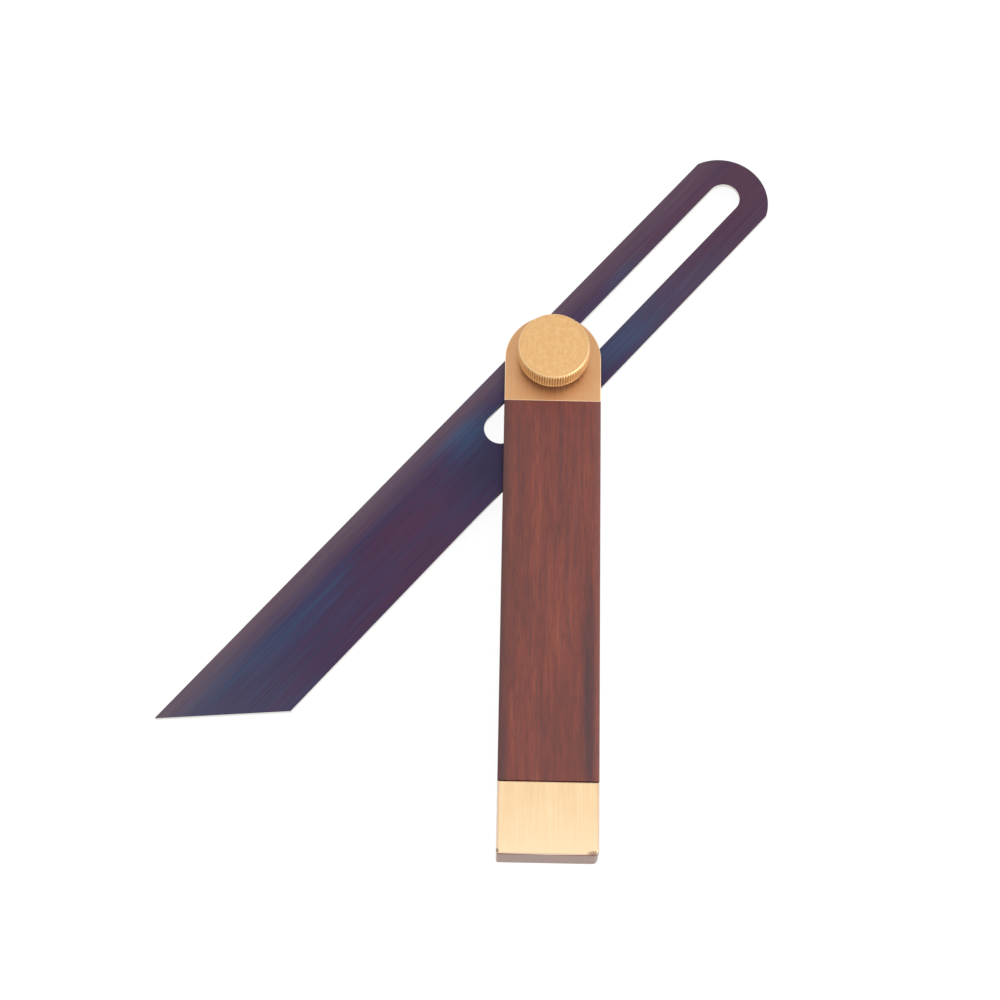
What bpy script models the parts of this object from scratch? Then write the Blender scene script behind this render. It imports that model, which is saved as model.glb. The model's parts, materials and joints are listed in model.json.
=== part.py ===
"""A sliding bevel: a slotted steel blade that turns and slides on a bolt in a brass-ended hardwood stock.

The origin is on the pivot axis, in the plane of the stock's rear face. +Y runs along the stock to its head,
+X to its right-hand edge and +Z out of its front face. Lengths are in metres.
"""

import math

import bmesh
import bpy
from mathutils import Matrix, Vector

MM = 0.001

# Stock.
STOCK_WIDTH = 30.2 * MM
STOCK_THICKNESS = 11.1 * MM
BUTT_DISTANCE = 159.6 * MM  # from the pivot axis to the butt end
SLOT_HEIGHT = 3.0 * MM  # the saw slot that the blade folds into
SLOT_FLOOR = 18.0 * MM  # solid wood between the slot's floor and the butt end
STOCK_ARRIS = 0.45 * MM

# Brass on the stock.
PLATE_THICKNESS = 1.3 * MM
PLATE_DROP = 14.6 * MM  # from the pivot axis to the plates' straight ends
CAP_LENGTH = 22.3 * MM
CAP_WALL = 1.3 * MM
CAP_END_WALL = 2.0 * MM
CAP_CORNER = 1.2 * MM
BRASS_ARRIS = 0.3 * MM
PIN_RADIUS = 0.9 * MM
PLATE_PIN = Vector((10.6, -10.6)) * MM
CAP_PIN = Vector((8.5, -149.0)) * MM
PIN_STOP = 0.5 * MM  # wood left between a plate pin's end and the saw slot
SIDES = (("left", -1), ("right", 1))

# Blade, in its own plane: X runs along it to the round head, and the pivot axis is at X = 0, Y = 0.
BLADE_ANGLE = math.radians(40.6)  # between the blade and the stock
BLADE_WIDTH = 28.94 * MM
BLADE_THICKNESS = 1.6 * MM
BLADE_TIP = -167.5 * MM
BLADE_OFFSET = -2.21 * MM  # the blade's centre line, to one side of the pivot axis
HEAD_CENTRE = 80.2 * MM
HEAD_RADIUS = 15.7 * MM
BLADE_SLOT_WIDTH = 10.3 * MM
BLADE_SLOT_ENDS = (-27.4 * MM, 82.1 * MM)

# Pivot bolt and washers.
BOLT_HEAD_RADIUS = 5.5 * MM
BOLT_NECK = 6.0 * MM  # the square neck's side
BOLT_NECK_TOP = 3.4 * MM
SHANK_RADIUS = 2.8 * MM
SHANK_TOP = 12.3 * MM
THREAD_RADIUS = 2.5 * MM
THREAD_TOP = 19.2 * MM
SHANK_ROOT = 0.5 * MM  # where the shank starts inside the bolt's head
NECK_ROOT = 0.8 * MM  # where the square neck starts inside the bolt's head
FRICTION_WASHER_RADIUS = 8.0 * MM
FRICTION_WASHER_THICKNESS = 0.4 * MM
CLAMP_WASHER_RADIUS = 7.5 * MM
CLAMP_WASHER_THICKNESS = 1.0 * MM

# Thumb knob.
KNOB_RADIUS = 11.25 * MM
KNOB_TOP = 20.74 * MM
KNOB_RIM = 7.04 * MM
KNOB_NECK_RADIUS = 6.0 * MM
KNOB_CHAMFER = 0.4 * MM
KNOB_BORE_ROOF = 19.5 * MM
KNURL_TEETH = 84
KNURL_DEPTH = 0.3 * MM

# Gaps and mesh fineness.
GAP = 0.15 * MM  # between pieces that touch or run on each other
JOINT_GAP = 0.2 * MM  # between brass and the wood it is let into
ARC_STEPS = 40  # around a half circle
ROUND_STEPS = 40  # around a small turned piece
PIN_STEPS = 16  # around a pin
CORNER_STEPS = 6  # around a corner of the butt cap
SHARP_ANGLE = math.radians(30)
SAME_LEVEL = 1e-7
SAME_POINT = 1e-6
BREAK_THROUGH = 2.0 * MM  # how far a cutter runs past the face it opens

HALF_WIDTH = STOCK_WIDTH / 2
MID_HEIGHT = STOCK_THICKNESS / 2
SLOT_BOTTOM = MID_HEIGHT - SLOT_HEIGHT / 2
SLOT_TOP = MID_HEIGHT + SLOT_HEIGHT / 2
PLATE_RECESS = PLATE_THICKNESS + JOINT_GAP
HOLE_RADIUS = SHANK_RADIUS + GAP


def remove_all_objects():
    for item in list(bpy.data.objects):
        bpy.data.objects.remove(item, do_unlink=True)


def make_material(name, colour, roughness, metallic):
    surface = bpy.data.materials.new(name)
    surface.use_nodes = True
    shader = surface.node_tree.nodes["Principled BSDF"]
    shader.inputs["Base Color"].default_value = (*colour, 1.0)
    shader.inputs["Roughness"].default_value = roughness
    shader.inputs["Metallic"].default_value = metallic
    return surface


def make_object(name, shape, surface=None, parent=None):
    """Turns a bmesh into an object, smooth except across sharp edges."""
    mesh = bpy.data.meshes.new(name)
    bmesh.ops.recalc_face_normals(shape, faces=shape.faces)
    shape.to_mesh(mesh)
    shape.free()
    mesh.shade_smooth()
    mesh.set_sharp_from_angle(angle=SHARP_ANGLE)
    item = bpy.data.objects.new(name, mesh)
    bpy.context.scene.collection.objects.link(item)
    item.parent = parent
    if surface:
        mesh.materials.append(surface)
    return item


def make_empty(name, location, turn=0.0):
    item = bpy.data.objects.new(name, None)
    item.location = location
    item.rotation_euler.z = turn
    bpy.context.scene.collection.objects.link(item)
    return item


def cut(target, name, shape):
    """Cuts a hidden cutter's shape out of the target."""
    cutter = make_object(name, shape, parent=target.parent)
    cutter.hide_render = True
    cutter.display_type = "WIRE"
    boolean = target.modifiers.new(name, "BOOLEAN")
    boolean.operation = "DIFFERENCE"
    boolean.object = cutter


def join(target, name, shape):
    """Unites a hidden guide's shape with the target."""
    guide = make_object(name, shape, parent=target.parent)
    guide.hide_render = True
    guide.display_type = "WIRE"
    boolean = target.modifiers.new(name, "BOOLEAN")
    boolean.operation = "UNION"
    boolean.object = guide


def arc(centre, radius, start, end, steps):
    """Points on an arc, from one angle in degrees to another, both ends included."""
    angles = [math.radians(start + (end - start) * i / steps) for i in range(steps + 1)]
    return [(centre[0] + radius * math.cos(a), centre[1] + radius * math.sin(a)) for a in angles]


def prism(outline, low, high):
    """A flat outline in X and Y, extruded from one height to another."""
    shape = bmesh.new()
    face = shape.faces.new([shape.verts.new((x, y, low)) for x, y in outline])
    raised = bmesh.ops.extrude_face_region(shape, geom=[face])["geom"]
    top = [v for v in raised if isinstance(v, bmesh.types.BMVert)]
    bmesh.ops.translate(shape, verts=top, vec=(0, 0, high - low))
    return shape


def bevel_rims(shape, heights, width):
    """Chamfers the outline's edges at each of the given heights."""
    edges = [
        e
        for e in shape.edges
        if any(all(abs(v.co.z - h) < SAME_LEVEL for v in e.verts) for h in heights)
    ]
    bmesh.ops.bevel(
        shape,
        geom=edges,
        offset=width,
        segments=1,
        profile=0.5,
        affect="EDGES",
        material=-1,
        clamp_overlap=True,
    )
    return shape


def block(low, high):
    """A box between two corners."""
    shape = bmesh.new()
    middle = (Vector(low) + Vector(high)) / 2
    size = Vector(high) - Vector(low)
    place = Matrix.Translation(middle) @ Matrix.Diagonal((*size, 1.0))
    bmesh.ops.create_cube(shape, size=1.0, matrix=place)
    return shape


def cylinder(radius, low, high, centre=(0.0, 0.0), steps=ROUND_STEPS):
    shape = bmesh.new()
    bmesh.ops.create_cone(
        shape,
        cap_ends=True,
        segments=steps,
        radius1=radius,
        radius2=radius,
        depth=high - low,
        matrix=Matrix.Translation((*centre, (low + high) / 2)),
    )
    return shape


def ring(radius, bore, low, high):
    """A washer around the pivot axis."""
    return turned([(bore, low), (radius, low), (radius, high), (bore, high), (bore, low)], ROUND_STEPS)


def turned(profile, steps):
    """A profile of (radius, height) points, turned a full circle about the Z axis."""
    shape = bmesh.new()
    points = [shape.verts.new((radius, 0.0, height)) for radius, height in profile]
    edges = [shape.edges.new(pair) for pair in zip(points, points[1:])]
    bmesh.ops.spin(
        shape,
        geom=points + edges,
        cent=(0, 0, 0),
        axis=(0, 0, 1),
        angle=math.tau,
        steps=steps,
        use_merge=True,
    )
    bmesh.ops.remove_doubles(shape, verts=shape.verts, dist=SAME_POINT)
    return shape


def stock_outline(butt):
    """The stock seen from the front: straight sides and a half-round head about the pivot axis."""
    head = arc((0, 0), HALF_WIDTH, 0, 180, ARC_STEPS)
    return head + [(-HALF_WIDTH, butt), (HALF_WIDTH, butt)]


def make_stock(wood):
    tongue_end = -BUTT_DISTANCE + CAP_END_WALL + JOINT_GAP
    shape = prism(stock_outline(tongue_end), 0, STOCK_THICKNESS)
    stock = make_object("wooden_stock", bevel_rims(shape, (0, STOCK_THICKNESS), STOCK_ARRIS), wood)
    side = HALF_WIDTH + BREAK_THROUGH

    slot = block((-side, -BUTT_DISTANCE + SLOT_FLOOR, SLOT_BOTTOM), (side, side, SLOT_TOP))
    cut(stock, "cut_blade_slot", slot)

    plate_end = -PLATE_DROP - JOINT_GAP
    cap_start = -BUTT_DISTANCE + CAP_LENGTH + JOINT_GAP
    butt_clear = -BUTT_DISTANCE - BREAK_THROUGH
    for face, low, high in (
        ("rear", -BREAK_THROUGH, PLATE_RECESS),
        ("front", STOCK_THICKNESS - PLATE_RECESS, STOCK_THICKNESS + BREAK_THROUGH),
    ):
        cut(stock, f"cut_{face}_plate_recess", block((-side, plate_end, low), (side, side, high)))
        cut(stock, f"cut_{face}_cap_recess", block((-side, butt_clear, low), (side, cap_start, high)))

    reach = (-BREAK_THROUGH, STOCK_THICKNESS + BREAK_THROUGH)
    cut(stock, "cut_bolt_hole", cylinder(HOLE_RADIUS, *reach))
    half_neck = BOLT_NECK / 2 + GAP
    neck_low = (-half_neck, -half_neck, -BREAK_THROUGH)
    neck_high = (half_neck, half_neck, BOLT_NECK_TOP + GAP)
    cut(stock, "cut_bolt_neck_hole", block(neck_low, neck_high))

    for side_name, sign in SIDES:
        plate_pin = (sign * PLATE_PIN.x, PLATE_PIN.y)
        cap_pin = (sign * CAP_PIN.x, CAP_PIN.y)
        cut(stock, f"cut_plate_pin_hole_{side_name}", pin_hole(plate_pin))
        cut(stock, f"cut_cap_pin_hole_{side_name}", pin_hole(cap_pin))
    return stock


def pin_hole(centre):
    reach = (-BREAK_THROUGH, STOCK_THICKNESS + BREAK_THROUGH)
    return cylinder(PIN_RADIUS + GAP, *reach, centre=centre, steps=PIN_STEPS)


def make_head_plate(name, low, high, bolt_clearance, outer, brass):
    """A brass plate in the outline of the head, with its outer rim softened."""
    shape = prism(stock_outline(-PLATE_DROP), low, high)
    plate = make_object(name, bevel_rims(shape, (outer,), BRASS_ARRIS), brass)
    clear = (low - BREAK_THROUGH, high + BREAK_THROUGH)
    cut(plate, f"cut_{name}_bolt", cylinder(bolt_clearance, *clear))
    for side_name, sign in SIDES:
        centre = (sign * PLATE_PIN.x, PLATE_PIN.y)
        hole = cylinder(PIN_RADIUS + GAP, *clear, centre=centre, steps=PIN_STEPS)
        cut(plate, f"cut_{name}_pin_{side_name}", hole)
    return plate


def make_butt_cap(brass):
    """A U of brass round the butt: front wall, end wall and rear wall, open at both sides."""
    butt = -BUTT_DISTANCE
    start = butt + CAP_LENGTH
    corner_y = butt + CAP_CORNER
    corner_x = HALF_WIDTH - CAP_CORNER
    outline = [(HALF_WIDTH, start), (-HALF_WIDTH, start)]
    outline += arc((-corner_x, corner_y), CAP_CORNER, 180, 270, CORNER_STEPS)
    outline += arc((corner_x, corner_y), CAP_CORNER, 270, 360, CORNER_STEPS)
    shape = bevel_rims(prism(outline, 0, STOCK_THICKNESS), (0, STOCK_THICKNESS), BRASS_ARRIS)
    cap = make_object("butt_cap", shape, brass)
    side = HALF_WIDTH + BREAK_THROUGH
    inside = block(
        (-side, butt + CAP_END_WALL, CAP_WALL),
        (side, start + BREAK_THROUGH, STOCK_THICKNESS - CAP_WALL),
    )
    cut(cap, "cut_cap_inside", inside)
    for side_name, sign in SIDES:
        cut(cap, f"cut_cap_pin_{side_name}", pin_hole((sign * CAP_PIN.x, CAP_PIN.y)))
    return cap


def make_pins(brass):
    """The filed-flush pins of both head plates, and the rivets of the butt cap."""
    stop = SLOT_BOTTOM - PIN_STOP
    for side_name, sign in SIDES:
        plate_pin = (sign * PLATE_PIN.x, PLATE_PIN.y)
        cap_pin = (sign * CAP_PIN.x, CAP_PIN.y)
        spans = {
            "rear_plate_pin": (0, stop, plate_pin),
            "front_plate_pin": (STOCK_THICKNESS - stop, STOCK_THICKNESS, plate_pin),
            "butt_cap_pin": (0, STOCK_THICKNESS, cap_pin),
        }
        for name, (low, high, centre) in spans.items():
            pin = cylinder(PIN_RADIUS, low, high, centre=centre, steps=PIN_STEPS)
            make_object(f"{name}_{side_name}", pin, brass)


def blade_outline():
    """The blade about the pivot axis: round head at +X, 45-degree tip with its point on the +Y edge."""
    half = BLADE_WIDTH / 2
    shoulder = math.degrees(math.asin(half / HEAD_RADIUS))
    head = arc((HEAD_CENTRE, BLADE_OFFSET), HEAD_RADIUS, -shoulder, shoulder, ARC_STEPS)
    point = (BLADE_TIP, BLADE_OFFSET + half)
    heel = (BLADE_TIP + BLADE_WIDTH, BLADE_OFFSET - half)
    return head + [point, heel]


def blade_slot_outline():
    low, high = BLADE_SLOT_ENDS
    radius = BLADE_SLOT_WIDTH / 2
    far = arc((high, BLADE_OFFSET), radius, -90, 90, ARC_STEPS // 2)
    near = arc((low, BLADE_OFFSET), radius, 90, 270, ARC_STEPS // 2)
    return far + near


def make_blade(pivot, steel):
    half = BLADE_THICKNESS / 2
    blade = make_object("blade", prism(blade_outline(), -half, half), steel, pivot)
    reach = half + BREAK_THROUGH
    cut(blade, "cut_blade_long_slot", prism(blade_slot_outline(), -reach, reach))
    return blade


def make_friction_washers(pivot, steel):
    near = BLADE_THICKNESS / 2 + GAP
    far = near + FRICTION_WASHER_THICKNESS
    for name, low, high in (
        ("front_friction_washer", near, far),
        ("rear_friction_washer", -far, -near),
    ):
        make_object(name, ring(FRICTION_WASHER_RADIUS, HOLE_RADIUS, low, high), steel, pivot)


def make_bolt(steel):
    """Flat round head, square neck, plain shank and threaded end, in one piece."""
    shank = turned(
        [
            (0, SHANK_ROOT),
            (SHANK_RADIUS, SHANK_ROOT),
            (SHANK_RADIUS, SHANK_TOP),
            (THREAD_RADIUS, SHANK_TOP),
            (THREAD_RADIUS, THREAD_TOP - KNOB_CHAMFER),
            (THREAD_RADIUS - KNOB_CHAMFER, THREAD_TOP),
            (0, THREAD_TOP),
        ],
        ROUND_STEPS,
    )
    bolt = make_object("pivot_bolt", shank, steel)
    join(bolt, "join_bolt_head", cylinder(BOLT_HEAD_RADIUS, 0, PLATE_THICKNESS))
    half_neck = BOLT_NECK / 2
    neck = block((-half_neck, -half_neck, NECK_ROOT), (half_neck, half_neck, BOLT_NECK_TOP))
    join(bolt, "join_bolt_neck", neck)
    return bolt


def make_clamp_washer(axis, brass):
    low = STOCK_THICKNESS + GAP
    shape = ring(CLAMP_WASHER_RADIUS, HOLE_RADIUS, low, low + CLAMP_WASHER_THICKNESS)
    return make_object("clamp_washer", shape, brass, axis)


def make_knob(axis, brass):
    """A turned knob with a straight knurl: every second column of the rim is set in to a valley."""
    neck_base = STOCK_THICKNESS + GAP + CLAMP_WASHER_THICKNESS + GAP
    rim_base = KNOB_TOP - KNOB_RIM
    bore = THREAD_RADIUS + GAP
    face = KNOB_RADIUS - KNURL_DEPTH - KNOB_CHAMFER
    columns = 2 * KNURL_TEETH
    shape = turned(
        [
            (0, KNOB_BORE_ROOF),
            (bore, KNOB_BORE_ROOF),
            (bore, neck_base),
            (KNOB_NECK_RADIUS, neck_base),
            (KNOB_NECK_RADIUS, rim_base),
            (face, rim_base),
            (KNOB_RADIUS, rim_base + KNOB_CHAMFER),
            (KNOB_RADIUS, KNOB_TOP - KNOB_CHAMFER),
            (face, KNOB_TOP),
            (0, KNOB_TOP),
        ],
        columns,
    )
    valley = (KNOB_RADIUS - KNURL_DEPTH) / KNOB_RADIUS
    for vertex in shape.verts:
        on_rim = vertex.co.xy.length > KNOB_RADIUS - KNURL_DEPTH / 2
        column = round(math.atan2(vertex.co.y, vertex.co.x) / math.tau * columns)
        if on_rim and column % 2:
            vertex.co.x *= valley
            vertex.co.y *= valley
    return make_object("thumb_knob", shape, brass, axis)


def build():
    remove_all_objects()
    wood = make_material("oiled_rosewood", (0.21, 0.075, 0.05), 0.45, 0.0)
    brass = make_material("polished_brass", (0.80, 0.56, 0.26), 0.3, 1.0)
    blued = make_material("blued_steel", (0.07, 0.05, 0.11), 0.35, 1.0)
    steel = make_material("bright_steel", (0.55, 0.55, 0.56), 0.3, 1.0)

    make_stock(wood)
    make_head_plate("rear_head_plate", 0, PLATE_THICKNESS, BOLT_HEAD_RADIUS + GAP, 0, brass)
    front = STOCK_THICKNESS
    make_head_plate("front_head_plate", front - PLATE_THICKNESS, front, HOLE_RADIUS, front, brass)
    make_butt_cap(brass)
    make_pins(brass)
    make_bolt(steel)

    # The blade's own X axis points to its round head, up and to the right of the stock's.
    pivot = make_empty("blade_pivot", (0, 0, MID_HEIGHT), math.pi / 2 - BLADE_ANGLE)
    make_friction_washers(pivot, steel)
    make_blade(pivot, blued)

    knob_axis = make_empty("knob_axis", (0, 0, 0))
    make_clamp_washer(knob_axis, brass)
    make_knob(knob_axis, brass)


build()
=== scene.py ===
"""The looks of a sliding bevel: blued blade, rosewood stock, brass head plates, butt cap and thumb knob.

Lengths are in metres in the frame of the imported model: the pivot axis is Z at X = Y = 0, the stock runs along
Y with its head at +Y, it lies on its rear face at Z = 0, and the knob stands on its front face.
"""

import json
import math

import bmesh
import bpy
from mathutils import Matrix, Vector


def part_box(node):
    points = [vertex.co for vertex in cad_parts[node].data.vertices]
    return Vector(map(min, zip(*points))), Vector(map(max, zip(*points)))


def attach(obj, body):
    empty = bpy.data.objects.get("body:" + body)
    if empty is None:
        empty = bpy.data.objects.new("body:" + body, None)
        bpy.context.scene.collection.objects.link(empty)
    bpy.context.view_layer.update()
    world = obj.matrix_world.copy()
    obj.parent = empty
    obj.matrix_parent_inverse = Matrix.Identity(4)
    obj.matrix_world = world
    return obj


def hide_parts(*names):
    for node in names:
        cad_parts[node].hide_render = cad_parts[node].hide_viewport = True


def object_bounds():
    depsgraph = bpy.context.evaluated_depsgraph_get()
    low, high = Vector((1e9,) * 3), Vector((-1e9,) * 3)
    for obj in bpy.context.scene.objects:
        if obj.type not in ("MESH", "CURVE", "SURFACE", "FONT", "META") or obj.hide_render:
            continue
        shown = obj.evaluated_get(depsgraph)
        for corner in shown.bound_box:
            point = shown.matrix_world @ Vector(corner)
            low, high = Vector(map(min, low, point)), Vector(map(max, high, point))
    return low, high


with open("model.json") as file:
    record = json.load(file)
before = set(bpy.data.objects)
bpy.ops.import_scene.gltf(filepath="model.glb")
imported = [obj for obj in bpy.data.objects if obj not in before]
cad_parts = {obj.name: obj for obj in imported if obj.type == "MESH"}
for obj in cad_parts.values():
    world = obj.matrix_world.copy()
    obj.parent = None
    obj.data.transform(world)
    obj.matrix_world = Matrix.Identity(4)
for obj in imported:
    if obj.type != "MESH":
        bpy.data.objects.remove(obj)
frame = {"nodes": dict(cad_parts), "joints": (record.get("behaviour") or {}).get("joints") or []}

CAD_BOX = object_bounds()

MM = 0.001
TINY = 0.01 * MM  # nearer than this, two heights or lengths are the same
SAME_POINT = 0.001 * MM  # nearer than this, two vertices are one

# ---------------------------------------------------------------- sizes read from the frame

STOCK_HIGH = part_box("wooden_stock")[1]
PLATE_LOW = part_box("front_head_plate")[0]
REAR_LOW, REAR_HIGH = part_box("rear_head_plate")
CAP_LOW, CAP_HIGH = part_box("butt_cap")
KNOB_LOW, KNOB_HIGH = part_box("thumb_knob")
BOLT_LOW, BOLT_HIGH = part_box("pivot_bolt")
CLAMP_LOW, CLAMP_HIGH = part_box("clamp_washer")
FRONT_WASHER_LOW, FRONT_WASHER_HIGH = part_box("front_friction_washer")
REAR_WASHER_LOW, REAR_WASHER_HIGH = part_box("rear_friction_washer")
BLADE_LOW, BLADE_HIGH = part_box("blade")

HALF_WIDTH = STOCK_HIGH.x
THICKNESS = STOCK_HIGH.z
MIDDLE = THICKNESS / 2

BOLT_HEAD_RADIUS = (BOLT_HIGH.x - BOLT_LOW.x) / 2
KNOB_RADIUS = (KNOB_HIGH.x - KNOB_LOW.x) / 2

JOINTS = {joint["name"]: joint for joint in frame["joints"]}
BLADE_WAY = Vector(JOINTS["blade_slide"]["axis"]).normalized()  # along the blade, to its round head
BLADE_TURN = math.atan2(BLADE_WAY.y, BLADE_WAY.x)

# ---------------------------------------------------------------- sizes of details

# Hairline joints, tighter than the clearances that the solids need.
HAIRLINE = 0.03 * MM

# Shading keeps an edge sharp past the first angle, and an arris is softened past the second.
SHARP_ANGLE = math.radians(38)
ARRIS_ANGLE = math.radians(40)

# Wood.
SAW_SLOT = 3.0 * MM
SLOT_FLOOR = CAP_LOW.y + 18.0 * MM
WOOD_ARRIS = 0.4 * MM
SLOT_ARRIS = 0.2 * MM

# Brass on the stock.
PLATE_ARRIS = 0.3 * MM
CAP_WALL = 1.3 * MM
CAP_END_WALL = 2.0 * MM
CAP_CORNERS = (0.7 * MM, 1.7 * MM)  # the left one is sharper than the right one, which is filed round
CAP_ARRIS = 0.7 * MM
PIN_RADIUS = 0.9 * MM
PIN_ARRIS = 0.08 * MM

# Mesh steps round whole circles, and round parts of one.
TURNED_STEPS = 96
HOLE_STEPS = 64
BOLT_STEPS = 64
PIN_STEPS = 32
HEAD_STEPS = 72
BLADE_HEAD_STEPS = 64
SLOT_END_STEPS = 40
CAP_CORNER_STEPS = 8
ARRIS_STEPS = 4

# Blade, about the pivot axis, X along the blade.
BLADE_SLOT_WIDTH = 10.3 * MM
BLADE_SLOT_ENDS = (-27.4 * MM, 82.1 * MM)
BLADE_HEAD_RADIUS = 15.7 * MM
BLADE_ARRIS = 0.14 * MM
TIP_BLUNTING = 0.35 * MM

# Bolt and washers.
SHANK_RADIUS = 2.8 * MM
THREAD_RADIUS = 2.5 * MM
THREAD_DEPTH = 0.45 * MM
THREAD_CHAMFER = 0.4 * MM
THREAD_PITCH = 0.8 * MM
THREAD_START = 12.3 * MM
BOLT_NECK = 6.0 * MM
BOLT_NECK_TOP = 3.4 * MM
NECK_SHOULDER = 0.2 * MM  # over which the square neck becomes the round shank
BOLT_ARRIS = 0.12 * MM
HOLE_RADIUS = 2.95 * MM
STEEL_WASHER_ARRIS = 0.1 * MM
BRASS_WASHER_ARRIS = 0.25 * MM

# Knob.
KNURL_TEETH = 84
KNURL_DEPTH = 0.45 * MM
KNURL_PROFILE = (0.0, 0.0, 0.45, 0.95, 0.95, 0.45)  # shares of the depth over a tooth, from its crest
KNURL_LEVELS = 6  # mesh rows up the knurl
KNURL_MARGIN = 0.15 * MM  # between the knurl and the rounded edges
EDGE_DROP = 0.55 * KNURL_DEPTH  # how far the rounded edges stand in from the crests
KNOB_RIM = 7.04 * MM
KNOB_EDGE = 0.45 * MM
KNOB_NECK_RADIUS = 6.0 * MM
NECK_FILLET = 0.3 * MM
NECK_ARRIS = 0.15 * MM
BORE_CLEARANCE = 0.1 * MM
BORE_DEPTH_LEFT = 0.3 * MM  # between the bolt's end and the bore's roof

# Studio.
CAMERA_PLACE = (-0.01804, -0.3395, 0.7412)
CAMERA_YAW = math.radians(-0.42)
CAMERA_TILT = math.radians(90 - 68.26)  # from straight down
CAMERA_ROLL = math.radians(1.55)
CAMERA_LENS = 91.8  # mm, on a sensor of 36 mm
PAPER_REACH = 40.0  # far enough that its edge stays out of every view


# ---------------------------------------------------------------- materials

def linear(hex_colour):
    """An sRGB hex colour, such as "c8a060", as linear RGBA."""
    channels = [int(hex_colour[i : i + 2], 16) / 255 for i in (0, 2, 4)]
    return [c / 12.92 if c <= 0.04045 else ((c + 0.055) / 1.055) ** 2.4 for c in channels] + [1.0]


def add(tree, kind, inputs, output=0, stops=(), **settings):
    """Adds a node and returns one of its outputs.

    Inputs are in the node's order, or named. Each is a value, or another node's output to link.
    A Map Range node's are the value, its least and most, and the result's least and most.
    A colour Mix node's are 0, the factor, 6 and 7, the colours, and its output is 2.
    Stops are the (position, hex colour) pairs of a colour ramp."""
    node = tree.nodes.new(kind)
    for name, value in settings.items():
        setattr(node, name, value)
    for name, value in inputs.items() if isinstance(inputs, dict) else enumerate(inputs):
        if isinstance(value, bpy.types.NodeSocket):
            tree.links.new(value, node.inputs[name])
        else:
            node.inputs[name].default_value = value
    for i, (position, colour) in enumerate(stops):
        element = node.color_ramp.elements[i] if i < 2 else node.color_ramp.elements.new(position)
        element.position = position
        element.color = linear(colour)
    return node.outputs[output]


def start_material(name):
    """A new material's node tree, its shader's inputs, and its coordinates in millimetres."""
    material = bpy.data.materials.new(name)
    material.use_nodes = True
    tree = material.node_tree
    place = add(tree, "ShaderNodeTexCoord", (), "Object")
    millimetres = add(tree, "ShaderNodeMapping", {"Vector": place, "Scale": (1 / MM, 1 / MM, 1 / MM)})
    return material, tree, tree.nodes["Principled BSDF"].inputs, millimetres


def grain(tree, millimetres, size, detail=3.0, roughness=0.6):
    """Noise whose cells measure size, three lengths in millimetres."""
    stretched = add(tree, "ShaderNodeMapping", {"Vector": millimetres, "Scale": [1 / s for s in size]})
    settings = {"Vector": stretched, "Scale": 1.0, "Detail": detail, "Roughness": roughness}
    return add(tree, "ShaderNodeTexNoise", settings)


def spot(tree, millimetres, centre, reach):
    """A soft-edged patch: 1 at its centre, 0 past its reach, both given as (X, Y) in millimetres."""
    scale = (1 / reach[0], 1 / reach[1], 0)
    start = (-centre[0] * scale[0], -centre[1] * scale[1], 0)
    moved = add(tree, "ShaderNodeMapping", {"Vector": millimetres, "Location": start, "Scale": scale})
    return add(tree, "ShaderNodeTexGradient", (moved,), "Fac", gradient_type="SPHERICAL")


def weigh(tree, total, parts):
    """Adds up (value, weight) pairs from a starting total."""
    for value, weight in parts:
        total = add(tree, "ShaderNodeMath", (value, weight, total), operation="MULTIPLY_ADD")
    return total


def wash(tree, colour, tint, value, start, end, strength):
    """Lays a tint over a colour as a value goes from start to end."""
    factor = add(tree, "ShaderNodeMapRange", (value, start, end, 0.0, strength))
    return add(tree, "ShaderNodeMix", {0: factor, 6: colour, 7: linear(tint)}, 2, data_type="RGBA")


def levelness(tree):
    """1 on the piece's level faces, 0 on its upright walls."""
    normal = add(tree, "ShaderNodeTexCoord", (), "Normal")
    up = add(tree, "ShaderNodeSeparateXYZ", (normal,), "Z")
    return add(tree, "ShaderNodeMath", (up,), operation="ABSOLUTE")


def painted_arris_highlight(tree, colour, bright, strength):
    """Paints a highlight on the arrises between flat faces and walls, where they catch the light."""
    level = levelness(tree)
    rise = add(tree, "ShaderNodeMapRange", (level, 0.1, 0.35, 0.0, strength))
    fall = add(tree, "ShaderNodeMapRange", (level, 0.9, 0.99, 1.0, 0.0))
    both = add(tree, "ShaderNodeMath", (rise, fall), operation="MULTIPLY")
    return wash(tree, colour, bright, both, 0.0, 1.0, 1.0)


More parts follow.
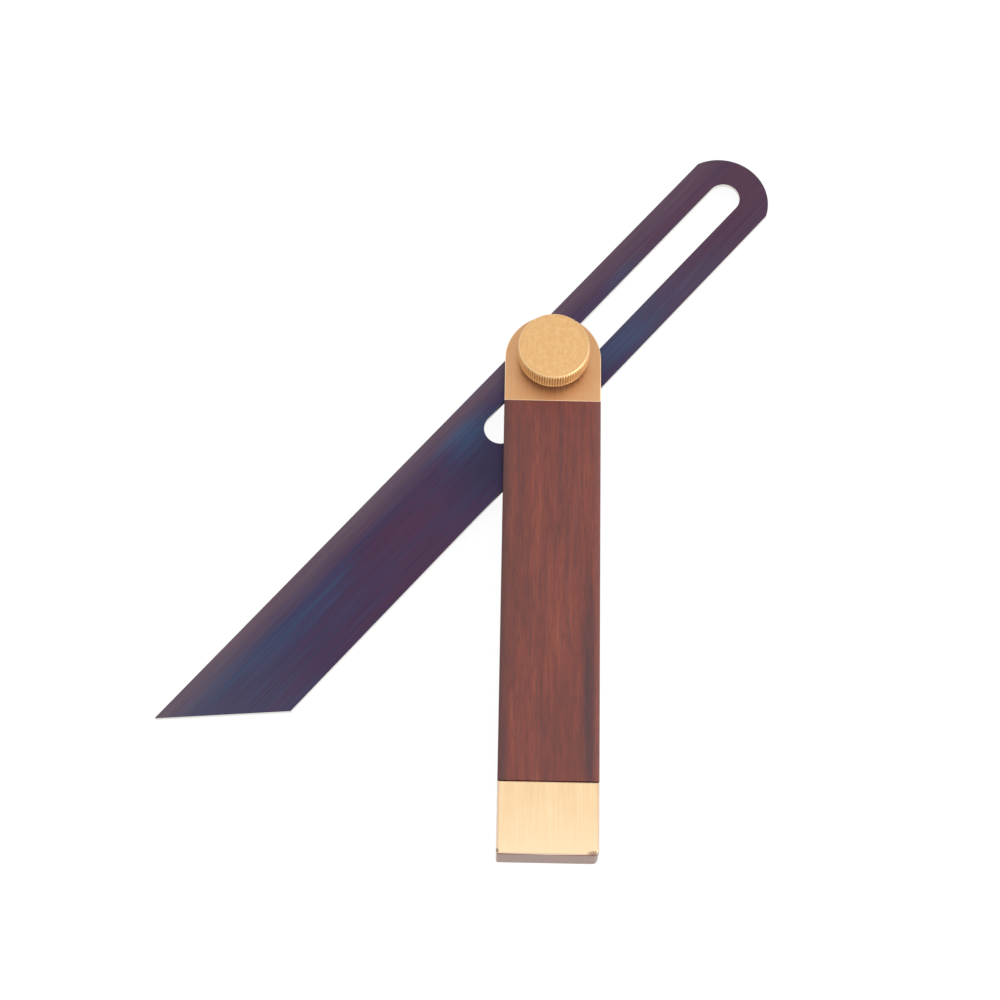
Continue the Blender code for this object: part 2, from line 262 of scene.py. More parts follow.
def oiled_rosewood():
    """Rosewood, planed and oiled: red-brown and straight-grained, with dark smudges and fine open pores."""
    material, tree, shader, mm = start_material("oiled_rosewood")
    # Growth bands about 3 mm wide, as long as half the stock.
    bands = grain(tree, mm, (3.0, 70.0, 3.0), detail=2.0)
    # Smudges where the grain dips: a millimetre or two wide and up to 2 cm long.
    smudges = grain(tree, mm, (1.5, 13.0, 1.5), detail=3.0, roughness=0.65)
    # Bundles of fibres, about 0.4 mm wide.
    fibres = grain(tree, mm, (0.4, 11.0, 0.4), detail=4.0, roughness=0.7)
    # Sparse dark lines of growth, under a millimetre wide.
    lines = grain(tree, mm, (0.8, 50.0, 0.8), detail=2.0)
    # Pores: fine dashes a few millimetres long, drawn 0.3 mm wide to show.
    pores = grain(tree, mm, (0.3, 5.0, 0.3), detail=2.0, roughness=0.5)
    flame = spot(tree, mm, (3.0, -85.0), (8.0, 34.0))
    dusk = spot(tree, mm, (11.2, -108.0), (3.0, 60.0))
    parts = [(bands, 0.36), (smudges, 0.34), (fibres, 0.44), (flame, 0.1), (dusk, -0.3)]
    body = add(
        tree,
        "ShaderNodeValToRGB",
        (weigh(tree, -0.03, parts),),
        stops=[(0.3, "462426"), (0.43, "5c2a25"), (0.54, "6b2e25"), (0.64, "783728"), (0.78, "8d4b35")],
    )
    body = wash(tree, body, "4a2e30", lines, 0.55, 0.72, 0.45)
    body = wash(tree, body, "3c201e", pores, 0.56, 0.72, 0.45)
    # The long arrises: the left one is painted darker as painted shade, the right one paler as a painted
    # highlight.
    across = add(tree, "ShaderNodeSeparateXYZ", (mm,), "X")
    body = wash(tree, body, "402221", across, -11.5, -14.4, 0.7)
    body = wash(tree, body, "80524c", across, 12.8, 14.4, 0.3)
    tree.links.new(body, shader["Base Color"])
    tree.links.new(add(tree, "ShaderNodeMapRange", (fibres, 0.3, 0.7, 0.4, 0.54)), shader["Roughness"])
    open_pores = add(tree, "ShaderNodeMapRange", (pores, 0.56, 0.7, 1.0, 0.0))
    relief = add(tree, "ShaderNodeBump", {"Height": open_pores, "Distance": 0.04 * MM})
    inputs = {"Height": fibres, "Distance": 0.02 * MM, "Strength": 0.6, "Normal": relief}
    tree.links.new(add(tree, "ShaderNodeBump", inputs), shader["Normal"])
    return material


def satin_brass():
    """Brass plate, rubbed along the stock with fine paper: a dull, even satin, with a painted highlight on its
    arrises.
    """
    material, tree, shader, mm = start_material("satin_brass")
    # Scratches, drawn half a millimetre wide to show.
    strokes = grain(tree, mm, (0.5, 14.0, 0.5))
    clouds = grain(tree, mm, (9.0, 14.0, 9.0), detail=2.0)
    tone = weigh(tree, 0.0, [(strokes, 0.5), (clouds, 0.5)])
    colour = add(tree, "ShaderNodeValToRGB", (tone,), stops=[(0.36, "c49367"), (0.64, "d0a378")])
    # Painted highlight on the arrises.
    tree.links.new(painted_arris_highlight(tree, colour, "ffe2bc", 0.85), shader["Base Color"])
    # The scratches throw some light about, as a paint does.
    shader["Metallic"].default_value = 0.8
    tree.links.new(add(tree, "ShaderNodeMapRange", (strokes, 0.3, 0.7, 0.32, 0.42)), shader["Roughness"])
    relief = add(tree, "ShaderNodeBump", {"Height": strokes, "Distance": 0.006 * MM})
    tree.links.new(relief, shader["Normal"])
    return material


def brushed_brass():
    """Brass sheet, brushed along the stock to a pale shine that is partly painted highlight, with painted shade
    on its end face, streaked across it.
    """
    material, tree, shader, mm = start_material("brushed_brass")
    # Scratches, drawn half a millimetre wide to show.
    strokes = grain(tree, mm, (0.45, 16.0, 0.45))
    clouds = grain(tree, mm, (7.0, 10.0, 7.0), detail=2.0)
    tone = weigh(tree, 0.0, [(strokes, 0.75), (clouds, 0.25)])
    # Paler than the plates' brass, partly as a painted highlight.
    stops = [(0.34, "d4b58c"), (0.5, "dbbd94"), (0.66, "e3c8a2")]
    shine = add(tree, "ShaderNodeValToRGB", (tone,), stops=stops)
    along = add(tree, "ShaderNodeSeparateXYZ", (mm,), "Y")
    # Painted highlight: paler towards the butt's end.
    shine = wash(tree, shine, "ecd6b4", along, -140.0, -158.0, 0.4)
    # Painted highlight on the arrises.
    shine = painted_arris_highlight(tree, shine, "e8cdb8", 0.85)
    # The front corners are darker in two patches.
    shine = wash(tree, shine, "6e5a48", spot(tree, mm, (-15.0, -158.6), (1.0, 1.0)), 0.1, 0.6, 0.8)
    shine = wash(tree, shine, "8c7060", spot(tree, mm, (13.8, -159.0), (3.0, 1.1)), 0.1, 0.6, 0.8)
    # The end face is painted darker and greyer, as painted shade, with streaks running across it.
    marks = grain(tree, mm, (9.0, 3.0, 0.6))
    painted_end_shade = add(tree, "ShaderNodeValToRGB", (marks,), stops=[(0.3, "82625a"), (0.7, "967463")])
    normal = add(tree, "ShaderNodeTexCoord", (), "Normal")
    toward_head = add(tree, "ShaderNodeSeparateXYZ", (normal,), "Y")
    # The painted shade reaches further round the front arris at its ends than at its middle.
    middle = spot(tree, mm, (0.0, -159.6), (17.0, 500.0))
    turn = weigh(tree, -0.3, [(toward_head, 1.0), (middle, 0.3)])
    on_end = add(tree, "ShaderNodeMapRange", (turn, -0.84, -0.99, 0.0, 1.0))
    # Lays the painted shade over the end face.
    colour = add(tree, "ShaderNodeMix", {0: on_end, 6: shine, 7: painted_end_shade}, 2, data_type="RGBA")
    tree.links.new(colour, shader["Base Color"])
    shader["Metallic"].default_value = 1.0
    tree.links.new(add(tree, "ShaderNodeMapRange", (strokes, 0.3, 0.7, 0.26, 0.36)), shader["Roughness"])
    relief = add(tree, "ShaderNodeBump", {"Height": strokes, "Distance": 0.006 * MM})
    tree.links.new(relief, shader["Normal"])
    return material


def turned_brass():
    """Brass turned in a lathe: a fine mottle over faint rings left by the tool, with painted highlights on its
    arrises and knurl.
    """
    material, tree, shader, mm = start_material("turned_brass")
    # Tool rings about half a millimetre apart: this noise runs along the radius only.
    level_place = add(tree, "ShaderNodeVectorMath", (mm, (1.0, 1.0, 0.0)), operation="MULTIPLY")
    radius = add(tree, "ShaderNodeVectorMath", (level_place,), "Value", operation="LENGTH")
    height = add(tree, "ShaderNodeSeparateXYZ", (mm,), "Z")
    outward = add(tree, "ShaderNodeCombineXYZ", (radius, 0.0, height))
    rings = grain(tree, outward, (0.5, 1.0, 40.0))
    mottle = grain(tree, mm, (1.6, 1.6, 1.6), detail=4.0, roughness=0.7)
    # Faint cross scratches from the last rub on the bench, drawn 0.4 mm wide to show.
    rubs = grain(tree, mm, (0.4, 7.0, 4.0))
    tone = weigh(tree, 0.0, [(rings, 0.2), (mottle, 0.55), (rubs, 0.25)])
    stops = [(0.32, "cfa068"), (0.5, "dbaf79"), (0.68, "e6c08c")]
    colour = add(tree, "ShaderNodeValToRGB", (tone,), stops=stops)
    # Painted highlight: the knurl's walls are painted brighter than the face.
    level = levelness(tree)
    colour = wash(tree, colour, "f6cd90", level, 0.6, 0.2, 0.7)
    # The valleys between the teeth are darker, here and there more than elsewhere.
    depth = weigh(tree, -0.4, [(radius, 1.0), (level, 30.0), (mottle, 0.8)])
    colour = wash(tree, colour, "8a5c30", depth, 11.15, 10.7, 0.65)
    # Painted highlight on the arrises.
    tree.links.new(painted_arris_highlight(tree, colour, "f8d8a8", 0.5), shader["Base Color"])
    # The knurl scatters light about, as a paint does.
    tree.links.new(add(tree, "ShaderNodeMapRange", (level, 0.2, 0.9, 0.45, 0.95)), shader["Metallic"])
    tree.links.new(add(tree, "ShaderNodeMapRange", (mottle, 0.3, 0.7, 0.34, 0.46)), shader["Roughness"])
    relief = add(tree, "ShaderNodeBump", {"Height": rings, "Distance": 0.006 * MM})
    inputs = {"Height": mottle, "Distance": 0.03 * MM, "Strength": 0.6, "Normal": relief}
    tree.links.new(add(tree, "ShaderNodeBump", inputs), shader["Normal"])
    return material


def blued_steel():
    """Spring steel, ground along its length and blued by heat: slate blue patches in a plum ground.

    Its edges are ground bright after the bluing."""
    material, tree, shader, mm = start_material("blued_steel")
    turned_back = {"Vector": mm, "Rotation": (0, 0, -BLADE_TURN)}
    blade_mm = add(tree, "ShaderNodeMapping", turned_back)
    # The heat tint drifts over centimetres and is drawn out along the blade.
    drift = grain(tree, blade_mm, (60.0, 8.0, 30.0), detail=2.0)
    streaks = grain(tree, blade_mm, (40.0, 1.5, 30.0))
    # Grinding lines, drawn 0.4 mm wide to show.
    lines = grain(tree, blade_mm, (30.0, 0.4, 3.0))
    # Where the tint ran on to blue, with a negative weight, and where it stayed plum.
    patches = [
        ((-36.0, 4.5), (15.0, 7.0), -0.34),
        ((-138.0, 3.0), (50.0, 10.0), -0.16),
        ((-112.0, 2.0), (30.0, 4.0), -0.12),
        ((26.0, -11.0), (30.0, 8.0), -0.36),
        ((58.0, -14.0), (16.0, 4.0), -0.25),
        ((40.0, 4.5), (13.0, 3.5), -0.3),
        ((-72.0, -4.0), (34.0, 9.0), 0.3),
        ((-85.0, -14.0), (60.0, 6.0), 0.22),
        ((86.0, -2.0), (40.0, 24.0), 0.24),
        ((-75.0, 8.0), (30.0, 3.5), 0.15),
    ]
    spots = [(spot(tree, blade_mm, centre, reach), weight) for centre, reach, weight in patches]
    heat = weigh(tree, 0.09, [(drift, 0.36), (streaks, 0.46), *spots])
    stops = [(0.08, "385070"), (0.3, "3c4560"), (0.45, "403b56"), (0.6, "46364e"), (0.8, "4e3448")]
    colour = add(tree, "ShaderNodeValToRGB", (heat,), stops=stops)
    along = add(tree, "ShaderNodeSeparateXYZ", (blade_mm,), "X")
    across = add(tree, "ShaderNodeSeparateXYZ", (blade_mm,), "Y")
    colour = wash(tree, colour, "585c6c", along, -120.0, -165.0, 0.35)
    # Straw is left in streaks along the upper edge, which the flame reached last.
    straw = weigh(tree, -2.0, [(across, 1.0), (streaks, 4.0), (along, -0.006)])
    colour = wash(tree, colour, "6a5860", straw, 4.5, 12.5, 0.75)
    colour = wash(tree, colour, "5e4654", along, 5.0, 50.0, 0.5)
    # Painted shadow: the steel is painted darkest beside the stock and the slot's end, where the stock's shade
    # falls.
    painted_stock_shadow = spot(tree, blade_mm, (-30.0, -9.0), (30.0, 14.0))
    colour = wash(tree, colour, "2e2b40", painted_stock_shadow, 0.0, 0.6, 0.5)
    shade = add(tree, "ShaderNodeMapRange", (lines, 0.3, 0.7, 0.82, 1.18))
    colour = add(tree, "ShaderNodeVectorMath", {"Vector": colour, "Scale": shade}, operation="SCALE")
    colour = wash(tree, colour, "dedad5", levelness(tree), 0.6, 0.3, 1.0)
    tree.links.new(colour, shader["Base Color"])
    shader["Metallic"].default_value = 1.0
    tree.links.new(add(tree, "ShaderNodeMapRange", (lines, 0.3, 0.7, 0.36, 0.5)), shader["Roughness"])
    relief = add(tree, "ShaderNodeBump", {"Height": lines, "Distance": 0.01 * MM})
    tree.links.new(relief, shader["Normal"])
    return material


def turned_steel():
    """Mild steel, turned and left bright, with a thin film of oil."""
    material, tree, shader, mm = start_material("turned_steel")
    film = grain(tree, mm, (2.5, 2.5, 2.5), detail=4.0)
    colour = add(tree, "ShaderNodeValToRGB", (film,), stops=[(0.3, "8d8c8a"), (0.7, "b4b2ae")])
    tree.links.new(colour, shader["Base Color"])
    shader["Metallic"].default_value = 1.0
    tree.links.new(add(tree, "ShaderNodeMapRange", (film, 0.3, 0.7, 0.26, 0.4)), shader["Roughness"])
    relief = add(tree, "ShaderNodeBump", {"Height": film, "Distance": 0.01 * MM})
    tree.links.new(relief, shader["Normal"])
    return material


def white_paper():
    """The background sheet: matt white paper with a faint tooth."""
    material, tree, shader, mm = start_material("white_paper")
    tooth = grain(tree, mm, (1.5, 1.5, 1.5), detail=2.0)
    colour = add(tree, "ShaderNodeValToRGB", (tooth,), stops=[(0.2, "5c5c5c"), (0.8, "646464")])
    tree.links.new(colour, shader["Base Color"])
    shader["Emission Color"].default_value = (1.0, 1.0, 1.0, 1.0)
    shader["Emission Strength"].default_value = 0.92
    shader["Roughness"].default_value = 0.9
    shader["Specular IOR Level"].default_value = 0.1
    return material


# ---------------------------------------------------------------- shapes

def finish_piece(name, shape, material, body, replaced):
    """Turns a bmesh into a finished piece that rides on a body in place of CAD nodes."""
    bmesh.ops.remove_doubles(shape, verts=shape.verts, dist=SAME_POINT)
    bmesh.ops.recalc_face_normals(shape, faces=shape.faces)
    mesh = bpy.data.meshes.new(name)
    shape.to_mesh(mesh)
    shape.free()
    mesh.materials.append(material)
    mesh.shade_smooth()
    mesh.set_sharp_from_angle(angle=SHARP_ANGLE)
    piece = bpy.data.objects.new(name, mesh)
    bpy.context.scene.collection.objects.link(piece)
    # Keeps the flats flat in shading beside their softened arrises.
    weighted = piece.modifiers.new("flat_shading", "WEIGHTED_NORMAL")
    weighted.keep_sharp = True
    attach(piece, body)
    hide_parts(*replaced)


def sweep_vertex(shape, start, centre, angle, steps):
    """Turns a vertex about a vertical axis and returns the last vertex of the arc that it draws."""
    spun = bmesh.ops.spin(
        shape, geom=[start], cent=centre, axis=(0, 0, 1), angle=angle, steps=steps
    )
    return next(v for v in spun["geom_last"] if isinstance(v, bmesh.types.BMVert))


def chain(shape, start, points):
    """Draws edges from a vertex through points, and returns the vertices."""
    made = [start]
    for point in points:
        made.append(shape.verts.new(point))
        shape.edges.new(made[-2:])
    return made


def draw_circle(shape, radius, height, centre):
    """Draws the edges of a hole in a level face."""
    place = Matrix.Translation((*centre, height))
    bmesh.ops.create_circle(shape, cap_ends=False, segments=HOLE_STEPS, radius=radius, matrix=place)


def raise_faces(shape, faces, rise):
    """Extrudes faces by a height and returns the moved faces.

    The operator gets their edges too. Without them, it leaves the old faces inside a shape that goes on
    beside them."""
    edges = list(dict.fromkeys(e for f in faces for e in f.edges))
    made = bmesh.ops.extrude_face_region(shape, geom=faces + edges)["geom"]
    moved = [v for v in made if isinstance(v, bmesh.types.BMVert)]
    bmesh.ops.translate(shape, verts=moved, vec=(0, 0, rise))
    return [f for f in made if isinstance(f, bmesh.types.BMFace)]


def folds(shape, test):
    """The edges across which the surface turns, where both ends pass a test."""
    return [
        e
        for e in shape.edges
        if len(e.link_faces) == 2
        and e.calc_face_angle(0.0) > ARRIS_ANGLE
        and all(test(v.co) for v in e.verts)
    ]


def soften(shape, edges, width, segments=3):
    """Rounds edges over, as a file or a plane iron breaks an arris."""
    bmesh.ops.recalc_face_normals(shape, faces=shape.faces)
    bmesh.ops.bevel(
        shape,
        geom=edges,
        offset=width,
        segments=segments,
        profile=0.5,
        affect="EDGES",
        material=-1,
        clamp_overlap=True,
    )


def mirror_about(shape, height):
    """Mirrors a half shape in a level plane and joins the halves."""
    bmesh.ops.translate(shape, verts=shape.verts, vec=(0, 0, -height))
    bmesh.ops.mirror(
        shape,
        geom=shape.verts[:] + shape.edges[:] + shape.faces[:],
        axis="Z",
        merge_dist=TINY,
    )
    bmesh.ops.translate(shape, verts=shape.verts, vec=(0, 0, height))


def turned(profile, steps=TURNED_STEPS):
    """A profile of (radius, height) points, turned a full circle about the pivot axis."""
    shape = bmesh.new()
    first = shape.verts.new((profile[0][0], 0, profile[0][1]))
    chain(shape, first, [(radius, 0, height) for radius, height in profile[1:]])
    bmesh.ops.spin(
        shape,
        geom=shape.verts[:] + shape.edges[:],
        cent=(0, 0, 0),
        axis=(0, 0, 1),
        angle=math.tau,
        steps=steps,
        use_merge=True,
    )
    bmesh.ops.remove_doubles(shape, verts=shape.verts, dist=SAME_POINT)
    return shape


def round_corner(radius, height, into, edge):
    """A quarter round of a turned profile: from the flat to the side, or back where into is negative."""
    corner = []
    for i in range(ARRIS_STEPS + 1):
        angle = math.pi / 2 * i / ARRIS_STEPS
        out = radius - edge + edge * math.sin(angle)
        corner.append((out, height - into * edge * (1 - math.cos(angle))))
    return corner if into > 0 else corner[::-1]


def ring_profile(bore, radius, low, high, edge):
    """A washer's closed profile with rounded outer edges."""
    top = round_corner(radius, high, 1, edge)
    bottom = round_corner(radius, low, -1, edge)
    return [(bore, high)] + top + bottom + [(bore, low), (bore, high)]


# ---------------------------------------------------------------- stock

def head_sheet(shape, straight_end, height, holes):
    """A level face in the outline of the head down to its straight end, with round holes in it.

    Returns the face's two vertices at the straight end, right and left."""
    right = shape.verts.new((HALF_WIDTH, 0, height))
    left = sweep_vertex(shape, right, (0, 0, height), math.pi, HEAD_STEPS)
    lower_left = chain(shape, left, [(-HALF_WIDTH, straight_end, height)])[-1]
    lower_right = chain(shape, lower_left, [(HALF_WIDTH, straight_end, height)])[-1]
    shape.edges.new((lower_right, right))
    for centre, radius in holes:
        draw_circle(shape, radius, height, centre)
    bmesh.ops.triangle_fill(shape, use_beauty=True, edges=shape.edges[:])
    return lower_right, lower_left


def make_stock(wood):
    """The wooden bar: half of it is drawn, from the middle of its thickness up, and mirrored."""
    slot_roof = MIDDLE + SAW_SLOT / 2
    recess_floor = PLATE_LOW.z - HAIRLINE
    cap_start = CAP_HIGH.y + HAIRLINE
    tongue_end = CAP_LOW.y + CAP_END_WALL + HAIRLINE
    shape = bmesh.new()
    right, left = head_sheet(shape, PLATE_LOW.y - HAIRLINE, slot_roof, [((0, 0), HOLE_RADIUS)])
    stations = [cap_start, SLOT_FLOOR, tongue_end]
    rights = chain(shape, right, [(HALF_WIDTH, y, slot_roof) for y in stations])
    lefts = chain(shape, left, [(-HALF_WIDTH, y, slot_roof) for y in stations])
    for i in range(len(stations)):
        shape.faces.new((rights[i], lefts[i], lefts[i + 1], rights[i + 1]))

    tops = raise_faces(shape, shape.faces[:], recess_floor - slot_roof)
    middle = [f for f in tops if cap_start < f.calc_center_median().y < PLATE_LOW.y]
    raise_faces(shape, middle, THICKNESS - recess_floor)
    tongue = [
        f
        for f in shape.faces
        if abs(f.calc_center_median().z - slot_roof) < TINY and f.calc_center_median().y < SLOT_FLOOR
    ]
    loose = raise_faces(shape, tongue, MIDDLE - slot_roof)
    bmesh.ops.delete(shape, geom=loose, context="FACES_ONLY")
    bmesh.ops.recalc_face_normals(shape, faces=shape.faces)

    def on_long_arris(co):
        return abs(co.z - THICKNESS) < TINY and cap_start - TINY < co.y < PLATE_LOW.y

    def on_slot_mouth(co):
        on_rim = abs(co.x) > HALF_WIDTH - TINY or co.xy.length > HALF_WIDTH - TINY
        return abs(co.z - slot_roof) < TINY and on_rim and co.y > SLOT_FLOOR - TINY

    long_arrises = [
        e for e in folds(shape, on_long_arris) if abs(e.verts[0].co.x - e.verts[1].co.x) < TINY
    ]
    soften(shape, long_arrises, WOOD_ARRIS)
    mouth = [
        e for e in folds(shape, on_slot_mouth) if max(v.co.y for v in e.verts) > SLOT_FLOOR + TINY
    ]
    soften(shape, mouth, SLOT_ARRIS, 2)
    mirror_about(shape, MIDDLE)
    finish_piece("rosewood_bar", shape, wood, "stock", ["wooden_stock"])


def make_front_plate(brass):
    """The front plate has the bolt's hole, and hides its pins."""
    shape = bmesh.new()
    head_sheet(shape, PLATE_LOW.y, PLATE_LOW.z, [((0, 0), HOLE_RADIUS)])
    raise_faces(shape, shape.faces[:], THICKNESS - PLATE_LOW.z)
    bmesh.ops.recalc_face_normals(shape, faces=shape.faces)
    soften(shape, folds(shape, lambda co: abs(co.z - THICKNESS) < TINY), PLATE_ARRIS)
    pins = ["front_plate_pin_left", "front_plate_pin_right"]
    finish_piece("front_brass_plate", shape, brass, "stock", ["front_head_plate", *pins])


def make_rear_plate(brass):
    """The rear plate has holes for the bolt's head and for the ends of two filed pins."""
    pins = ["rear_plate_pin_left", "rear_plate_pin_right"]
    centres = [sum(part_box(pin), Vector()) / 2 for pin in pins]
    holes = [((0, 0), BOLT_HEAD_RADIUS + HAIRLINE)]
    holes += [((c.x, c.y), PIN_RADIUS + HAIRLINE) for c in centres]
    shape = bmesh.new()
    head_sheet(shape, REAR_LOW.y, REAR_LOW.z, holes)
    raise_faces(shape, shape.faces[:], REAR_HIGH.z - REAR_LOW.z)
    bmesh.ops.recalc_face_normals(shape, faces=shape.faces)

    def on_outer_rim(co):
        outside = co.xy.length > HALF_WIDTH - TINY or co.y < REAR_LOW.y + TINY
        return abs(co.z - REAR_LOW.z) < TINY and outside

    soften(shape, folds(shape, on_outer_rim), PLATE_ARRIS)
    finish_piece("rear_brass_plate", shape, brass, "stock", ["rear_head_plate"])
    for pin, centre in zip(pins, centres):
        low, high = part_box(pin)
        profile = [(0, high.z), (PIN_RADIUS, high.z)]
        profile += round_corner(PIN_RADIUS, low.z, -1, PIN_ARRIS) + [(0, low.z)]
        peg = turned(profile, PIN_STEPS)
        bmesh.ops.translate(peg, verts=peg.verts, vec=(centre.x, centre.y, 0))
        finish_piece(f"{pin}_filed", peg, brass, "stock", [pin])


def make_butt_cap(brass):
    """The brass U round the butt: its upper half is drawn and mirrored."""
    inner = CAP_LOW.y + CAP_END_WALL
    level = THICKNESS - CAP_WALL
    shape = bmesh.new()
    left, right_corner = CAP_CORNERS
    start = shape.verts.new((-HALF_WIDTH, inner, level))
    side = chain(shape, start, [(-HALF_WIDTH, CAP_LOW.y + left, level)])[-1]
    centre = (left - HALF_WIDTH, CAP_LOW.y + left, level)
    end = sweep_vertex(shape, side, centre, math.pi / 2, CAP_CORNER_STEPS)
    across = chain(shape, end, [(HALF_WIDTH - right_corner, CAP_LOW.y, level)])[-1]
    centre = (HALF_WIDTH - right_corner, CAP_LOW.y + right_corner, level)
    last = sweep_vertex(shape, across, centre, math.pi / 2, CAP_CORNER_STEPS)
    right = chain(shape, last, [(HALF_WIDTH, inner, level)])[-1]
    shape.edges.new((right, start))
    bmesh.ops.contextual_create(shape, geom=shape.edges[:])
    wall = chain(shape, start, [(-HALF_WIDTH, CAP_HIGH.y, level), (HALF_WIDTH, CAP_HIGH.y, level)])
    shape.faces.new((start, wall[1], wall[2], right))
    raise_faces(shape, shape.faces[:], THICKNESS - level)
    bottoms = [
        f
        for f in shape.faces
        if abs(f.calc_center_median().z - level) < TINY and f.calc_center_median().y < inner
    ]
    loose = raise_faces(shape, bottoms, MIDDLE - level)
    bmesh.ops.delete(shape, geom=loose, context="FACES_ONLY")
    mirror_about(shape, MIDDLE)
    bmesh.ops.recalc_face_normals(shape, faces=shape.faces)

    rims = folds(shape, lambda co: min(abs(co.z - THICKNESS), abs(co.z)) < TINY)
    soften(shape, rims, CAP_ARRIS, 4)
    rivets = ["butt_cap_pin_left", "butt_cap_pin_right"]
    finish_piece("brass_butt", shape, brass, "stock", ["butt_cap", *rivets])


# ---------------------------------------------------------------- bolt, washers and knob

def make_bolt(steel):
    """Flush round head, square neck, plain shank, and thread grooves a pitch apart."""
    head_top = REAR_HIGH.z
    profile = [(0, BOLT_HIGH.z), (THREAD_RADIUS - THREAD_CHAMFER, BOLT_HIGH.z)]
    turns = int((BOLT_HIGH.z - THREAD_START) / THREAD_PITCH)
    for i in range(turns):
        crest = BOLT_HIGH.z - (i + 0.5) * THREAD_PITCH
        profile += [(THREAD_RADIUS, crest), (THREAD_RADIUS - THREAD_DEPTH, crest - THREAD_PITCH / 2)]
    profile += [(THREAD_RADIUS, THREAD_START), (SHANK_RADIUS, THREAD_START)]
    profile += [(SHANK_RADIUS, BOLT_NECK_TOP + NECK_SHOULDER), (SHANK_RADIUS, BOLT_NECK_TOP)]
    profile += [(SHANK_RADIUS, head_top), (BOLT_HEAD_RADIUS, head_top)]
    profile += round_corner(BOLT_HEAD_RADIUS, BOLT_LOW.z, -1, BOLT_ARRIS) + [(0, BOLT_LOW.z)]
    shape = turned(profile, BOLT_STEPS)
    square_the_neck(shape, head_top)
    finish_piece("bolt", shape, steel, "stock", ["pivot_bolt"])


def square_the_neck(shape, low):
    """Turns the rings at both ends of the neck from round to square."""
    half = BOLT_NECK / 2
    for vertex in shape.verts:
        near_neck = low - TINY < vertex.co.z < BOLT_NECK_TOP + TINY
        if near_neck and abs(vertex.co.xy.length - SHANK_RADIUS) < TINY:
            stretch = half / max(abs(vertex.co.x), abs(vertex.co.y))
            vertex.co.x *= stretch
            vertex.co.y *= stretch


def make_washers(steel, brass):
    """A steel washer on each side of the blade, and a brass one under the knob."""
    for name, node, low, high in (
        ("front_steel_washer", "front_friction_washer", FRONT_WASHER_LOW, FRONT_WASHER_HIGH),
        ("rear_steel_washer", "rear_friction_washer", REAR_WASHER_LOW, REAR_WASHER_HIGH),
    ):
        shape = turned(ring_profile(HOLE_RADIUS, high.x, low.z, high.z, STEEL_WASHER_ARRIS))
        finish_piece(name, shape, steel, "friction_washers", [node])
    profile = ring_profile(HOLE_RADIUS, CLAMP_HIGH.x, CLAMP_LOW.z, CLAMP_HIGH.z, BRASS_WASHER_ARRIS)
    shape = turned(profile)
    finish_piece("brass_washer", shape, brass, "clamp_washer", ["clamp_washer"])


def make_knob(brass):
    """The thumb knob: a flat face, a rounded edge, a straight-knurled rim and a neck."""
    top, base = KNOB_HIGH.z, KNOB_LOW.z
    rim_base = top - KNOB_RIM
    edge_radius = KNOB_RADIUS - EDGE_DROP
    bore = THREAD_RADIUS + BORE_CLEARANCE
    roof = BOLT_HIGH.z + BORE_DEPTH_LEFT
    profile = [(0, top)] + round_corner(edge_radius, top, 1, KNOB_EDGE)
    knurl_top = top - KNOB_EDGE - KNURL_MARGIN
    knurl_base = rim_base + KNOB_EDGE + KNURL_MARGIN
    for i in range(KNURL_LEVELS + 1):
        profile.append((KNOB_RADIUS, knurl_top + (knurl_base - knurl_top) * i / KNURL_LEVELS))
    profile += round_corner(edge_radius, rim_base, -1, KNOB_EDGE)
    profile += [(KNOB_NECK_RADIUS + NECK_FILLET, rim_base), (KNOB_NECK_RADIUS, rim_base - NECK_FILLET)]
    profile += round_corner(KNOB_NECK_RADIUS, base, -1, NECK_ARRIS)
    profile += [(bore, base), (bore, roof), (0, roof)]
    shape = turned(profile, KNURL_TEETH * len(KNURL_PROFILE))
    cut_knurl(shape)
    finish_piece("knurled_knob", shape, brass, "knob", ["thumb_knob"])


def cut_knurl(shape):
    """Sets columns of the rim in to make teeth with narrow flat crests and rounded valleys."""
    columns = len(KNURL_PROFILE)
    for vertex in shape.verts:
        if vertex.co.xy.length < KNOB_RADIUS - TINY:
            continue
        share = math.atan2(vertex.co.y, vertex.co.x) / math.tau
        column = round(share * KNURL_TEETH * columns) % columns
        inward = 1 - KNURL_DEPTH * KNURL_PROFILE[column] / KNOB_RADIUS
        vertex.co.x *= inward
        vertex.co.y *= inward


# ---------------------------------------------------------------- blade

def spread(node, way):
    """How far a CAD node reaches along a direction, least and most."""
    reach = [v.co.dot(way) for v in frame["nodes"][node].data.vertices]
    return min(reach), max(reach)


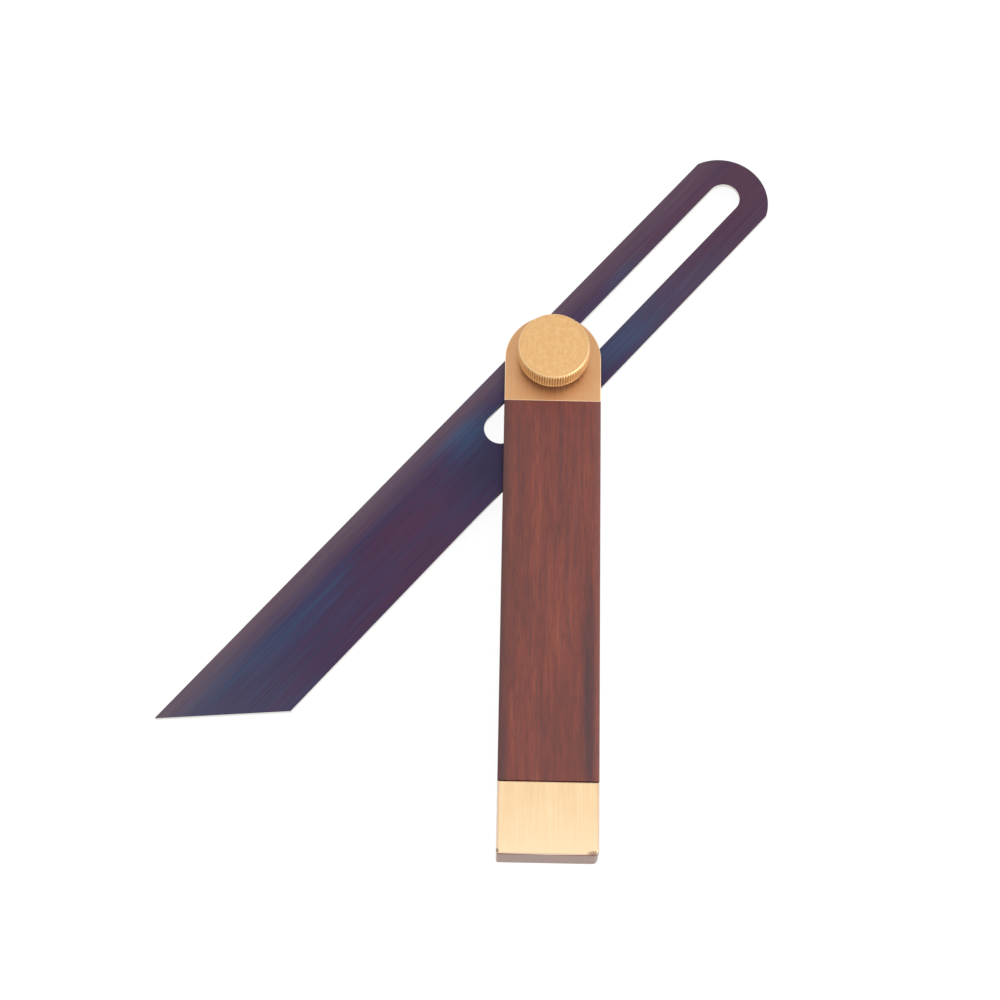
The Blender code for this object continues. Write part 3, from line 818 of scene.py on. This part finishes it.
def make_blade(steel):
    """The blade: drawn level about the pivot axis with its head at +X, then turned into place."""
    across = Vector((-BLADE_WAY.y, BLADE_WAY.x, 0))
    tip, head = spread("blade", BLADE_WAY)
    low, high = spread("blade", across)
    width, centre = high - low, (low + high) / 2
    level = BLADE_LOW.z
    head_centre = head - BLADE_HEAD_RADIUS
    shoulder = math.asin(width / 2 / BLADE_HEAD_RADIUS)

    shape = bmesh.new()
    first = shape.verts.new((head_centre + BLADE_HEAD_RADIUS * math.cos(shoulder), low, level))
    last = sweep_vertex(shape, first, (head_centre, centre, level), 2 * shoulder, BLADE_HEAD_STEPS)
    corner = [
        (tip + TIP_BLUNTING, high, level),
        (tip + TIP_BLUNTING, high - TIP_BLUNTING, level),
        (tip + width, low, level),
    ]
    outline = chain(shape, last, corner)
    shape.edges.new((outline[-1], first))

    radius = BLADE_SLOT_WIDTH / 2
    near, far = BLADE_SLOT_ENDS
    slot_start = shape.verts.new((far, centre - radius, level))
    slot_turn = sweep_vertex(shape, slot_start, (far, centre, level), math.pi, SLOT_END_STEPS)
    slot_back = chain(shape, slot_turn, [(near, centre + radius, level)])[-1]
    slot_end = sweep_vertex(shape, slot_back, (near, centre, level), math.pi, SLOT_END_STEPS)
    shape.edges.new((slot_end, slot_start))

    bmesh.ops.triangle_fill(shape, use_beauty=True, edges=shape.edges[:])
    raise_faces(shape, shape.faces[:], BLADE_HIGH.z - BLADE_LOW.z)
    bmesh.ops.recalc_face_normals(shape, faces=shape.faces)
    for height in (BLADE_LOW.z, BLADE_HIGH.z):
        soften(shape, folds(shape, lambda co: abs(co.z - height) < TINY), BLADE_ARRIS, 2)
    bmesh.ops.rotate(shape, verts=shape.verts, matrix=Matrix.Rotation(BLADE_TURN, 3, "Z"))
    finish_piece("blued_blade", shape, steel, "blade", ["blade"])


# ---------------------------------------------------------------- camera, light and floor

def make_camera():
    """A long lens above the stock's butt, looking up the stock."""
    data = bpy.data.cameras.new("camera")
    data.lens = CAMERA_LENS
    data.sensor_width = 36.0
    data.clip_start = 0.01
    camera = bpy.data.objects.new("camera", data)
    bpy.context.scene.collection.objects.link(camera)
    place = Matrix.Translation(CAMERA_PLACE)
    yaw = Matrix.Rotation(CAMERA_YAW, 4, "Z")
    tilt = Matrix.Rotation(CAMERA_TILT, 4, "X")
    roll = Matrix.Rotation(CAMERA_ROLL, 4, "Z")
    camera.matrix_world = place @ yaw @ tilt @ roll
    bpy.context.scene.camera = camera


def make_softbox(name, place, size, watts):
    """A softbox that faces the pivot."""
    data = bpy.data.lights.new(name, "AREA")
    data.shape = "RECTANGLE"
    data.size, data.size_y = size
    data.energy = watts
    light = bpy.data.objects.new(name, data)
    light.location = place
    light.rotation_euler = (-Vector(place)).to_track_quat("-Z", "Y").to_euler()
    bpy.context.scene.collection.objects.link(light)


def make_studio():
    """White paper under a wide softbox overhead and a smaller one up on the right, in a white room."""
    world = bpy.data.worlds.new("room")
    world.use_nodes = True
    back = world.node_tree.nodes["Background"]
    back.inputs["Color"].default_value = (1.0, 1.0, 1.0, 1.0)
    back.inputs["Strength"].default_value = 1.0
    bpy.context.scene.world = world
    bpy.context.scene.view_settings.view_transform = "Standard"
    make_softbox("overhead_softbox", place=(0.14, 0.0, 1.25), size=(1.1, 0.8), watts=1.3)
    make_softbox("side_softbox", place=(0.8, -0.42, 0.55), size=(0.6, 0.6), watts=5.0)

    shape = bmesh.new()
    under = Matrix.Translation((0, 0, CAD_BOX[0][2] - TINY))
    bmesh.ops.create_grid(shape, x_segments=1, y_segments=1, size=PAPER_REACH, matrix=under)
    mesh = bpy.data.meshes.new("paper")
    shape.to_mesh(mesh)
    shape.free()
    mesh.materials.append(white_paper())
    paper = bpy.data.objects.new("paper", mesh)
    bpy.context.scene.collection.objects.link(paper)


# ---------------------------------------------------------------- build

make_camera()
make_studio()
plate_brass = satin_brass()
butt_brass = brushed_brass()
knob_brass = turned_brass()
bolt_steel = turned_steel()

make_stock(oiled_rosewood())
make_front_plate(plate_brass)
make_rear_plate(plate_brass)
make_butt_cap(butt_brass)
make_bolt(bolt_steel)
make_washers(bolt_steel, knob_brass)
make_knob(knob_brass)
make_blade(blued_steel())
